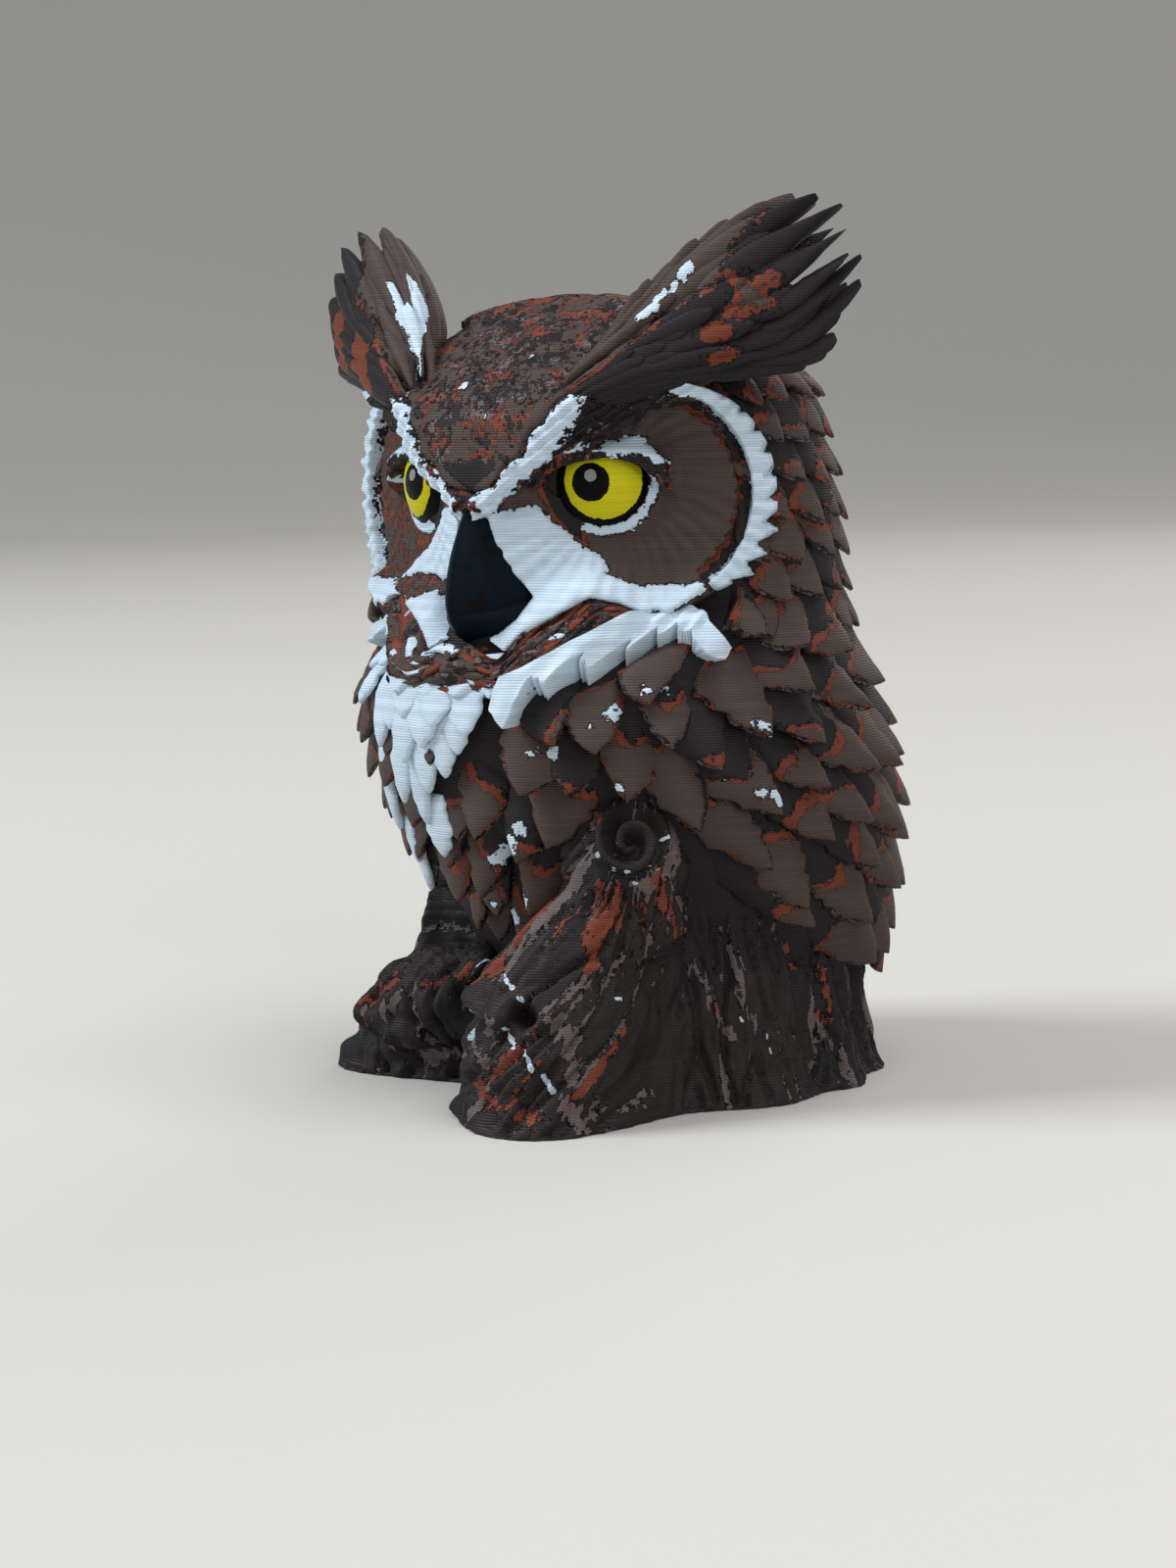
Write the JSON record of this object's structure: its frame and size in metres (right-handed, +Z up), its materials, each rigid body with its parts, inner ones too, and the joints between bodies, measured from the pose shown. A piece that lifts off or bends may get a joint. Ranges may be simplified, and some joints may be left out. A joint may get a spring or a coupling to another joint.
{
  "type": "owl figurine",
  "caption": "Small printed figurine of a horned owl with ear tufts, sitting on a root stump with a flat underside, layered feather relief and camouflage colours.",
  "frame": {"origin": "on the flat underside, below the owl's upright axis", "axes": "+Z up, -Y the way the owl's breast faces, +X the owl's left"},
  "size_m": [0.0492, 0.0476, 0.0703],
  "materials": {
    "printed_plastic": "satin PLA printed in fine level layers, charcoal brown, taupe, rust, white, yellow and blue-black in patches"
  },
  "bodies": {
    "root": {"owl_bust": "printed_plastic"}
  },
  "joints": []
}
